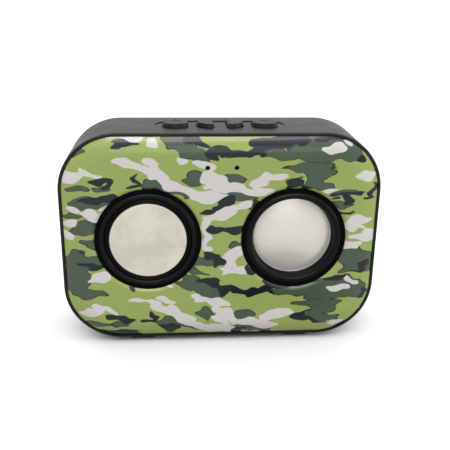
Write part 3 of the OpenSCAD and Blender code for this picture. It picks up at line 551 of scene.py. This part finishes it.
def key_outline(name, grow=0.0):
    """A flat face with a key's outline, its corners rounded, centred on the origin."""
    bm = bmesh.new()
    if name in ("plus", "minus"):
        oval = Matrix.Diagonal((key_bow + grow, key_d / 2 + grow, 1, 1))
        bmesh.ops.create_circle(bm, cap_ends=True, radius=1, segments=96, matrix=oval)
        side = key_w / 2 + grow
        for facing in (-1, 1):
            bmesh.ops.bisect_plane(bm, geom=bm.verts[:] + bm.edges[:] + bm.faces[:], clear_outer=True,
                                   plane_co=(facing * side, 0, 0), plane_no=(facing, 0, 0))
        corners = [v for v in bm.verts if abs(abs(v.co.x) - side) < NEAR]
        close = [v for v in bm.verts if side - key_corner - grow < abs(v.co.x) < side - NEAR]
        bmesh.ops.dissolve_verts(bm, verts=close)
    else:
        side = -1 if name == "back" else 1
        slope = (key_d - inner_tip) / 2 / (inner_w - inner_flat)
        lean = math.sqrt(1 + slope ** 2)
        tip = side * (inner_w / 2 + grow)
        bend = side * (inner_flat - inner_w / 2 + grow * (lean - 1) / slope)
        wide = key_d / 2 + grow
        narrow = inner_tip / 2 + grow * (lean - slope)
        outline = [(-tip, -wide), (bend, -wide), (tip, -narrow), (tip, narrow), (bend, wide), (-tip, wide)]
        corners = [bm.verts.new((x, y, 0)) for x, y in outline]
        bm.faces.new(corners)
    round_corners(bm, corners, key_corner + grow)
    return bm


# ---------- pieces ----------

def well_places():
    return [(x, case_mid.z + z) for x in (-well_x, well_x) for z in (-well_z, well_z)]


def make_casing():
    """The tub with its rim, key tray and openings for keys, port strip, screws and feet."""
    bm = rounded_block(case_low, case_high, corner_r, 28)
    round_edges(bm, loop_at(bm, case_high.y), back_round, 12)
    round_edges(bm, loop_at(bm, case_low.y), rim_round, 4)
    mouth = faces_at(bm, case_low.y, -1)
    inset(bm, mouth, rim_w - rim_round)
    mouth = push(bm, mouth, (0, ledge_depth, 0))
    inset(bm, mouth, wall - rim_w)
    push(bm, mouth, (0, case_high.y - case_low.y - wall - ledge_depth, 0))
    slope = Matrix.Rotation(-math.atan((tray_depth - tray_front) / tray_r / 2), 4, "X")
    hinge = Matrix.Translation((0, -tray_r, -tray_front)) @ slope @ Matrix.Translation((0, tray_r, 0))
    cutters = [stadium(2 * (tray_x + tray_r), 2 * tray_r, 2 * MM, (0, key_y, top_z), hinge)]
    inwards = 4 * MM
    for name, x in KEYS.items():
        hole = key_outline(name, key_step + key_clear)
        raise_outline(hole, inwards + 2 * MM)
        bmesh.ops.translate(hole, vec=(x, key_y, top_z - inwards), verts=hole.verts)
        cutters.append(hole)
    seat = (bezel_low + bezel_high) / 2
    size = bezel_high - bezel_low
    gap = 0.3 * MM
    ledge = 0.8 * MM
    recess = (seat.x, bezel_low.y, seat.z)
    opening = (seat.x, bezel_low.y - inwards, seat.z)
    cutters.append(stadium(size.x + gap, size.z + gap, 5 * MM, recess, TO_BACK))
    cutters.append(stadium(size.x - 2 * ledge, size.z - 2 * ledge, 6 * MM, opening, TO_BACK))
    back = case_high.y
    mouth_r = well_r + 0.4 * MM
    profile = [(0, back - well_depth), (well_r, back - well_depth), (well_r, back - 0.3 * MM),
               (mouth_r, back + 0.1 * MM), (mouth_r, back + MM), (0, back + MM)]
    cutters += [lathe(profile, Vector((x, 0, z)), 48) for x, z in well_places()]
    seat_h = feet_high.z - case_low.z + MM
    for x, y in foot_places():
        cutters.append(stadium(foot_l + gap, foot_w + gap, seat_h, (x, y, case_low.z - MM)))
    add_piece("casing_shell", carve(bm, cutters), "casing_plastic", replaces=["rear_casing"])


def make_screw_wells():
    """Tubes that run from the back wall down to the ledges the casing screws pull on."""
    start = case_high.y - 2 * MM
    floor = case_high.y - well_depth
    under = floor - 1.5 * MM
    shank_r = 1.3 * MM
    tube_r = well_r + 1.2 * MM
    profile = [(well_r, start), (well_r, floor), (shank_r, floor), (shank_r, under), (tube_r, under),
               (tube_r, start)]
    for i, (x, z) in enumerate(well_places()):
        add_piece(f"screw_well_{i + 1}", lathe(profile, Vector((x, 0, z)), 48), "casing_plastic",
                  replaces=["rear_casing"])


def make_panel():
    """The front: its edge rolls back all round, and its holes have a rolled-in lip."""
    edge_y = panel_low.y + panel_rise
    corner = corner_r - rim_w - panel_gap
    bm = rounded_block(Vector((panel_low.x, edge_y, panel_low.z)), panel_high, corner, 28)
    front = faces_at(bm, edge_y, -1)
    radius = (panel_roll ** 2 + panel_rise ** 2) / (2 * panel_rise)
    steep = math.asin(panel_roll / radius)
    steps = 14
    turns = [steep * (1 - i / steps) for i in range(steps + 1)]
    stops = [(radius * math.sin(t), radius * (1 - math.cos(t))) for t in turns]
    for (out_a, drop_a), (out_b, drop_b) in zip(stops, stops[1:]):
        inset(bm, front, out_a - out_b, drop_a - drop_b)
    hollow = faces_at(bm, panel_high.y, 1)
    inset(bm, hollow, panel_land)
    push(bm, hollow, (0, panel_t - (panel_high.y - panel_low.y), 0))
    front_y = panel_low.y
    over = front_y - MM
    deep = panel_high.y + MM
    lip_r = hole_r + hole_bevel
    lip = [(lip_r - hole_bevel * t, front_y + 0.6 * hole_bevel * t ** 1.6) for t in (0.2, 0.4, 0.6, 0.8, 1)]
    profile = [(0, over), (lip_r, over), (lip_r, front_y), *lip, (hole_r, deep), (0, deep)]
    cutters = [lathe(profile, unit, 160) for unit in (LEFT, RIGHT)]
    profile = [(0, over), (pinhole_r + 0.2 * MM, over), (pinhole_r + 0.15 * MM, front_y),
               (pinhole_r, front_y + 0.12 * MM), (pinhole_r, deep), (0, deep)]
    for x in (-pinhole_x, pinhole_x):
        cutters.append(lathe(profile, Vector((x, 0, case_mid.z + pinhole_z)), 32))
    add_piece("camouflage_front", carve(bm, cutters), "camouflage_panel", replaces=["front_panel"], sharp=24)


def make_trim(name, unit, node):
    """The soft black ring that fills the step between a frame's rim and the surround's roll."""
    inner = roll_out - 0.3 * MM
    top = rim_y - 1.2 * MM
    bottom = rim_y + 0.5 * MM
    wall_in = unit_r - 0.85 * MM
    wall_top = rim_y - 1.02 * MM
    soft = 0.18 * MM
    profile = [(inner, bottom), (inner, top)]
    profile += arc(unit_r - soft, top + soft, soft, 270, 360, 5)
    profile += [(unit_r, wall_top), (wall_in, wall_top), (wall_in, bottom)]
    add_piece(name, lathe(profile, unit), "foam", replaces=[node])


def let_stretch(piece, unit, inner, outer=roll_out):
    """Bakes the piece's placement into its mesh and works out for each vertex a share from the frame at
    outer to the moving body at inner; the share is not stored, so the piece does not follow the body.
    """
    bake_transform(piece)
    for vertex in piece.data.vertices:
        radius = math.hypot(vertex.co.x - unit.x, vertex.co.z - unit.z)
        share = min(1, max(0, (outer - radius) / (outer - inner)))
        share * share * (3 - 2 * share)


def make_driver_surround():
    """A thin rubber roll with a small bead where it meets the dome."""
    thick = 0.5 * MM
    gap = 0.04 * MM
    roll = 1.7 * MM
    narrow = 0.66
    mid = roll_out - roll
    centre = crest_y + roll
    disc = dome_high.y
    radius = dome_high.x - RIGHT.x
    bead = 0.32 * MM
    glue_in = radius - 1.1 * MM
    glue_out = radius + 0.9 * MM
    glue_y = disc + 0.05 * MM
    flange = rim_y + 1.1 * MM
    profile = arc(mid, centre, roll, 0, -90, 16)
    profile += [(mid + (r - mid) * narrow, y) for r, y in arc(mid, centre, roll, -90, -180, 14)[1:]]
    profile += [(radius + thick, disc - 1.5 * MM)]
    profile += arc(radius + bead + 0.03 * MM, disc - 0.85 * MM, bead, -90, -250, 8)
    profile += [(radius + 0.3 * MM, disc - 0.4 * MM), (radius + gap, disc - 0.2 * MM),
                (radius + gap, glue_y), (glue_in, glue_y), (glue_in, disc + thick),
                (glue_out, disc + thick), (glue_out, centre)]
    profile += arc(mid, centre, roll - 0.9 * MM, -180, -90, 8)
    profile += arc(mid, centre, roll - thick, -60, 0, 8)
    profile += [(roll_out - thick, flange), (roll_out, flange)]
    piece = add_piece("driver_surround_roll", lathe(profile, RIGHT, 160), "surround_rubber", body=None,
                      replaces=["driver_surround"])
    let_stretch(piece, RIGHT, radius)


def make_radiator_surround():
    """A narrower roll, then a groove, then a bead that holds the plate's edge."""
    thick = 0.5 * MM
    roll = 1.1 * MM
    mid = roll_out - roll
    roll_in = mid - roll
    centre = crest_y + roll
    groove = crest_y + 1.3 * MM
    corner = 0.15 * MM
    bead = roll_in - 1.1 * MM
    bead_r = 0.33 * MM
    radius = plate_high.x - LEFT.x
    glue_in = radius - 3 * MM
    glue_y = plate_high.y + 0.05 * MM
    under = plate_high.y + thick
    flange = rim_y + 1.1 * MM
    profile = arc(mid, centre, roll, 0, -165, 24)
    profile += [(roll_in - corner, groove - corner), (roll_in - 0.35 * MM, groove),
                (bead + 0.3 * MM, groove), (bead + 0.1 * MM, groove - corner)]
    profile += arc(bead - bead_r, plate_low.y + bead_r + corner, bead_r, 0, -180, 8)
    profile += [(radius + 0.03 * MM, glue_y), (glue_in, glue_y), (glue_in, under), (bead, under),
                (bead, groove + thick), (roll_in + thick, groove + thick), (roll_in + thick, centre)]
    profile += arc(mid, centre, roll - thick, -180, 0, 16)
    profile += [(roll_out - thick, flange), (roll_out, flange)]
    piece = add_piece("radiator_surround_roll", lathe(profile, LEFT, 160), "surround_rubber", body=None,
                      replaces=["radiator_surround"])
    let_stretch(piece, LEFT, bead)


def make_spider():
    """The corrugated cloth disc behind the cone, glued to the basket outside and the coil inside."""
    low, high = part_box("driver_spider")
    outer = high.x - RIGHT.x
    inner = spider_in
    cloth = 0.35 * MM
    fold = (high.y - low.y - cloth) / 2
    folds = 2
    steps = 48
    wave = []
    for i in range(steps + 1):
        share = i / steps
        height = fold * (1 - math.cos(2 * math.pi * folds * share))
        wave.append((inner + (outer - inner) * share, low.y + height))
    profile = wave + [(r, y + cloth) for r, y in reversed(wave)]
    piece = add_piece("driver_spider_cloth", lathe(profile, RIGHT), "spider_cloth", body=None,
                      replaces=["driver_spider"])
    let_stretch(piece, RIGHT, inner, outer)


def make_discs():
    """The driver's dome with its rolled edge, and the radiator's flat plate."""
    radius = dome_high.x - RIGHT.x
    crown = dome_high.y - dome_low.y
    ball = (radius ** 2 + crown ** 2) / (2 * crown)
    thick = 0.35 * MM
    hem = 0.17 * MM
    skirt = radius - 0.9 * MM
    steps = 24
    steep = math.asin((radius - 2 * hem) / ball)
    turns = [steep * i / steps for i in range(steps + 1)]
    face = [(ball * math.sin(t), dome_low.y + ball * (1 - math.cos(t))) for t in turns]
    inner = [(r, y + thick) for r, y in reversed(face) if r < skirt]
    profile = face + arc(radius - hem, face[-1][1] + hem, hem, -150, 0, 6)
    profile += [(radius, dome_high.y), (skirt, dome_high.y)] + inner
    add_piece("driver_dome_skin", lathe(profile, RIGHT, 160), "dome_metal", body="diaphragm",
              replaces=["driver_dome"])
    radius = plate_high.x - LEFT.x
    lip = 0.2 * MM
    profile = [(0, plate_low.y), (radius - 2 * lip, plate_low.y)]
    profile += arc(radius - lip, plate_low.y + lip, lip, -90, 0, 5)
    profile += [(radius, plate_high.y), (0, plate_high.y)]
    add_piece("radiator_plate_face", lathe(profile, LEFT, 160), "plate_metal", body="passive_diaphragm",
              replaces=["radiator_plate"])


def make_keys():
    """Four caps with drafted walls and a small step; the outer two have a sunk plus or minus."""
    buried = 3 * MM
    draft = 0.12 * MM
    across = Vector((1.9, 0.35, 0.25)) * MM
    along = Vector((0.35, 1.9, 0.25)) * MM
    step_z = buried + key_step_h
    for name, x in KEYS.items():
        bm = key_outline(name, key_step)
        top = raise_outline(bm, buried)
        inset(bm, top, draft, key_step_h)
        inset(bm, top, key_step - 2 * draft)
        inset(bm, top, draft, key_h - key_step_h)
        level = [e for e in bm.edges if all(v.co.z > step_z + NEAR for v in e.verts)]
        round_edges(bm, level, 0.22 * MM, 4)
        foot = [e for e in bm.edges if all(abs(v.co.z - step_z) < NEAR for v in e.verts)
                and any(f.calc_center_median().z < step_z - NEAR for f in e.link_faces)]
        round_edges(bm, foot, 0.08 * MM, 3)
        bmesh.ops.translate(bm, vec=(x, key_y, top_z - buried), verts=bm.verts)
        spot = Vector((x, key_y, top_z + key_h))
        bars = {"plus": [across, along], "minus": [across]}.get(name, [])
        cutters = [block(spot - half, spot + half) for half in bars]
        add_piece(f"key_{name}_cap", carve(bm, cutters), "casing_plastic", body="button_" + name,
                  replaces=["key_" + name])


def foot_places():
    half = foot_w / 2
    return [(x, y) for x in (-foot_x, foot_x) for y in (feet_low.y + half, feet_high.y - half)]


def make_feet():
    for i, (x, y) in enumerate(foot_places()):
        bm = stadium(foot_l, foot_w, feet_high.z - feet_low.z, (x, y, feet_low.z))
        bottom = [e for e in bm.edges if all(v.co.z < feet_low.z + NEAR for v in e.verts)]
        round_edges(bm, bottom, 0.5 * MM, 4)
        add_piece(f"foot_{i + 1}", bm, "foot_rubber", replaces=["rubber_feet"])


def make_bezel():
    """The rear port strip: a rounded plate whose openings each have a small sunk frame."""
    mid = (bezel_low + bezel_high) / 2
    size = bezel_high - bezel_low
    face = bezel_high.y
    bm = stadium(size.x, size.z, size.y, (mid.x, bezel_low.y, mid.z), TO_BACK)
    round_edges(bm, loop_at(bm, face), 0.35 * MM, 3)
    over = face + MM
    under = bezel_low.y - MM
    sunk = face - 0.3 * MM
    travel = 2 * MM
    slack = Vector((0.4 * MM, 0, 0.3 * MM))
    knob_low, knob_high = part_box("power_knob")
    slot_high = knob_high + Vector((travel, 0, 0)) + slack
    openings = [(*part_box("charge_socket"), 0.9 * MM), (*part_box("card_slot"), 0.3 * MM),
                (knob_low - slack, slot_high, 0.4 * MM)]
    cutters = []
    for low, high, corner in openings:
        for grow, start in ((0.2 * MM, under), (0.55 * MM, sunk)):
            margin = Vector((grow, 0, grow))
            near = Vector((low.x, start, low.z)) - margin
            far = Vector((high.x, over, high.z)) + margin
            cutters.append(rounded_block(near, far, corner + grow / 2, 6))
    jack_low, jack_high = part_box("aux_socket")
    bore = 2.8 * MM
    mouth = bore + 0.45 * MM
    profile = [(0, under), (bore, under), (bore, sunk), (mouth, face + 0.05 * MM), (mouth, over), (0, over)]
    cutters.append(lathe(profile, (jack_low + jack_high) / 2, 48))
    add_piece("rear_port_strip", carve(bm, cutters), "black_plastic", replaces=["port_bezel"])


def make_switch_knob():
    """The power switch's slider, with three grip ridges across its face."""
    low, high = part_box("power_knob")
    ridge = 0.25 * MM
    half = 0.15 * MM
    inset_z = 0.1 * MM
    count = 3
    bm = rounded_block(low, Vector((high.x, high.y - ridge, high.z)), 0.2 * MM, 3)
    step = (high.x - low.x) / count
    for i in range(count):
        centre = low.x + step * (i + 0.5)
        bar = block(Vector((centre - half, high.y - 2 * ridge, low.z + inset_z)),
                    Vector((centre + half, high.y, high.z - inset_z)))
        round_edges(bar, loop_at(bar, high.y), 0.07 * MM, 2)
        mesh = bpy.data.meshes.new("ridge")
        bar.to_mesh(mesh)
        bar.free()
        bm.from_mesh(mesh)
    add_piece("power_switch_slider", bm, "black_plastic", body="switch_slider", replaces=["power_knob"])


def finish_cad_nodes():
    """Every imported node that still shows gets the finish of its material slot."""
    slots = {s["node"]: s["material_slot"] for s in frame["record"]["subparts"]}
    for name, node in frame["nodes"].items():
        if not node.hide_render:
            node.data.materials.clear()
            node.data.materials.append(FINISHES[slots[name]])


# ---------- stage ----------

def make_camera():
    """The camera stands low in front, a little to the left, and looks slightly down."""
    azimuth = math.radians(-4.347)
    elevation = math.radians(19.958)
    roll = math.radians(0.828)
    distance = 260.89 * MM
    aim = Vector((1.386 * MM, rim_y, case_mid.z + 5.824 * MM))
    away = Vector((math.sin(azimuth) * math.cos(elevation), -math.cos(azimuth) * math.cos(elevation),
                   math.sin(elevation)))
    right = Vector((math.cos(azimuth), math.sin(azimuth), 0))
    up = away.cross(right)
    turned_right = right * math.cos(roll) + up * math.sin(roll)
    turned_up = up * math.cos(roll) - right * math.sin(roll)
    data = bpy.data.cameras.new("camera")
    data.lens = 55.43
    data.sensor_width = 36
    data.clip_start = 0.01
    camera = bpy.data.objects.new("camera", data)
    camera.matrix_world = Matrix((turned_right, turned_up, away)).transposed().to_4x4()
    camera.location = aim + away * distance
    scene.collection.objects.link(camera)
    scene.camera = camera


def make_sun(name, azimuth, elevation, width, power):
    """A far soft light: azimuth from the front towards the right, width as an angle in degrees."""
    data = bpy.data.lights.new(name, "SUN")
    data.energy = power
    data.angle = math.radians(width)
    lamp = bpy.data.objects.new(name, data)
    turn, rise = math.radians(azimuth), math.radians(elevation)
    source = Vector((math.sin(turn) * math.cos(rise), -math.cos(turn) * math.cos(rise), math.sin(rise)))
    lamp.rotation_euler = source.to_track_quat("Z", "Y").to_euler()
    scene.collection.objects.link(lamp)


def make_studio():
    """A white dome of light, dimmer at the horizon and brighter overhead."""
    world = bpy.data.worlds.new("studio")
    world.use_nodes = True
    nodes, links = world.node_tree.nodes, world.node_tree.links
    direction = nodes.new("ShaderNodeTexCoord")
    parts = nodes.new("ShaderNodeSeparateXYZ")
    lift = nodes.new("ShaderNodeMapRange")
    lift.interpolation_type = "SMOOTHSTEP"
    for socket, value in (("From Min", 0.25), ("From Max", 0.8), ("To Min", 1.0), ("To Max", 3.7)):
        lift.inputs[socket].default_value = value
    links.new(direction.outputs["Generated"], parts.inputs[0])
    links.new(parts.outputs["Z"], lift.inputs["Value"])
    links.new(lift.outputs["Result"], nodes["Background"].inputs["Strength"])
    nodes["Background"].inputs["Color"].default_value = (1, 1, 0.99, 1)
    scene.world = world


def add_sheet(name, centre, half_x, half_y, paper):
    """A level sheet of the stage; it is not part of the object."""
    bm = bmesh.new()
    size = Matrix.Diagonal((half_x, half_y, 1, 1))
    bmesh.ops.create_grid(bm, x_segments=1, y_segments=1, size=1, matrix=Matrix.Translation(centre) @ size)
    mesh = bpy.data.meshes.new(name)
    bm.to_mesh(mesh)
    bm.free()
    mesh.materials.append(paper.material)
    sheet = bpy.data.objects.new(name, mesh)
    scene.collection.objects.link(sheet)
    return sheet


def make_stage():
    """A pale floor, and a soft dark card before the driver that only mirrored light can see: a painted
    shadow that stands in for the floor's shade in front of the speaker and darkens the lower part of the
    dome's reflection.
    """
    paper = Finish("pale_paper", grey(0.41), 0.9, IOR=1.2)
    paper.put("Base Color", paper.mix(paper.noise(3, 2), grey(0.4), grey(0.42)))
    add_sheet("floor", (0, 0, 0), 40, 40, paper)
    middle = Vector((RIGHT.x + 2 * MM, rim_y - 42 * MM, MM))
    half_x = 38 * MM
    half_y = 28 * MM
    # Painted shadow: the card is near black in its middle and fades out to the floor's own grey at its edges
    shadow_paint = Finish("shadow_card_paint", grey(0.01), 1.0, IOR=1.05)
    spot = shadow_paint.mapped(scale=(1 / half_x, 1 / half_y, 0), shift=(-middle.x / half_x, -middle.y / half_y, 0))
    fade = shadow_paint.length(spot).ramp(0.35, 0.98)
    shadow_paint.put("Base Color", shadow_paint.mix(fade, grey(0.01), grey(0.41)))
    card = add_sheet("painted_shadow_card", middle, half_x, half_y, shadow_paint)
    card.visible_camera = False
    card.visible_diffuse = False
    card.visible_shadow = False
    scene.view_settings.view_transform = "Standard"
    scene.view_settings.look = "None"


make_camera()
make_studio()
make_sun("strip_right", 82, 12, 14, 1.2)
make_sun("front", 3, 10, 24, 0.35)
make_sun("overhead", -4, 50, 30, 1.3)
make_stage()
make_casing()
make_screw_wells()
make_panel()
make_trim("driver_trim_ring", RIGHT, "driver_gasket")
make_trim("radiator_trim_ring", LEFT, "radiator_gasket")
make_driver_surround()
make_radiator_surround()
make_spider()
make_discs()
make_keys()
make_feet()
make_bezel()
make_switch_knob()
finish_cad_nodes()
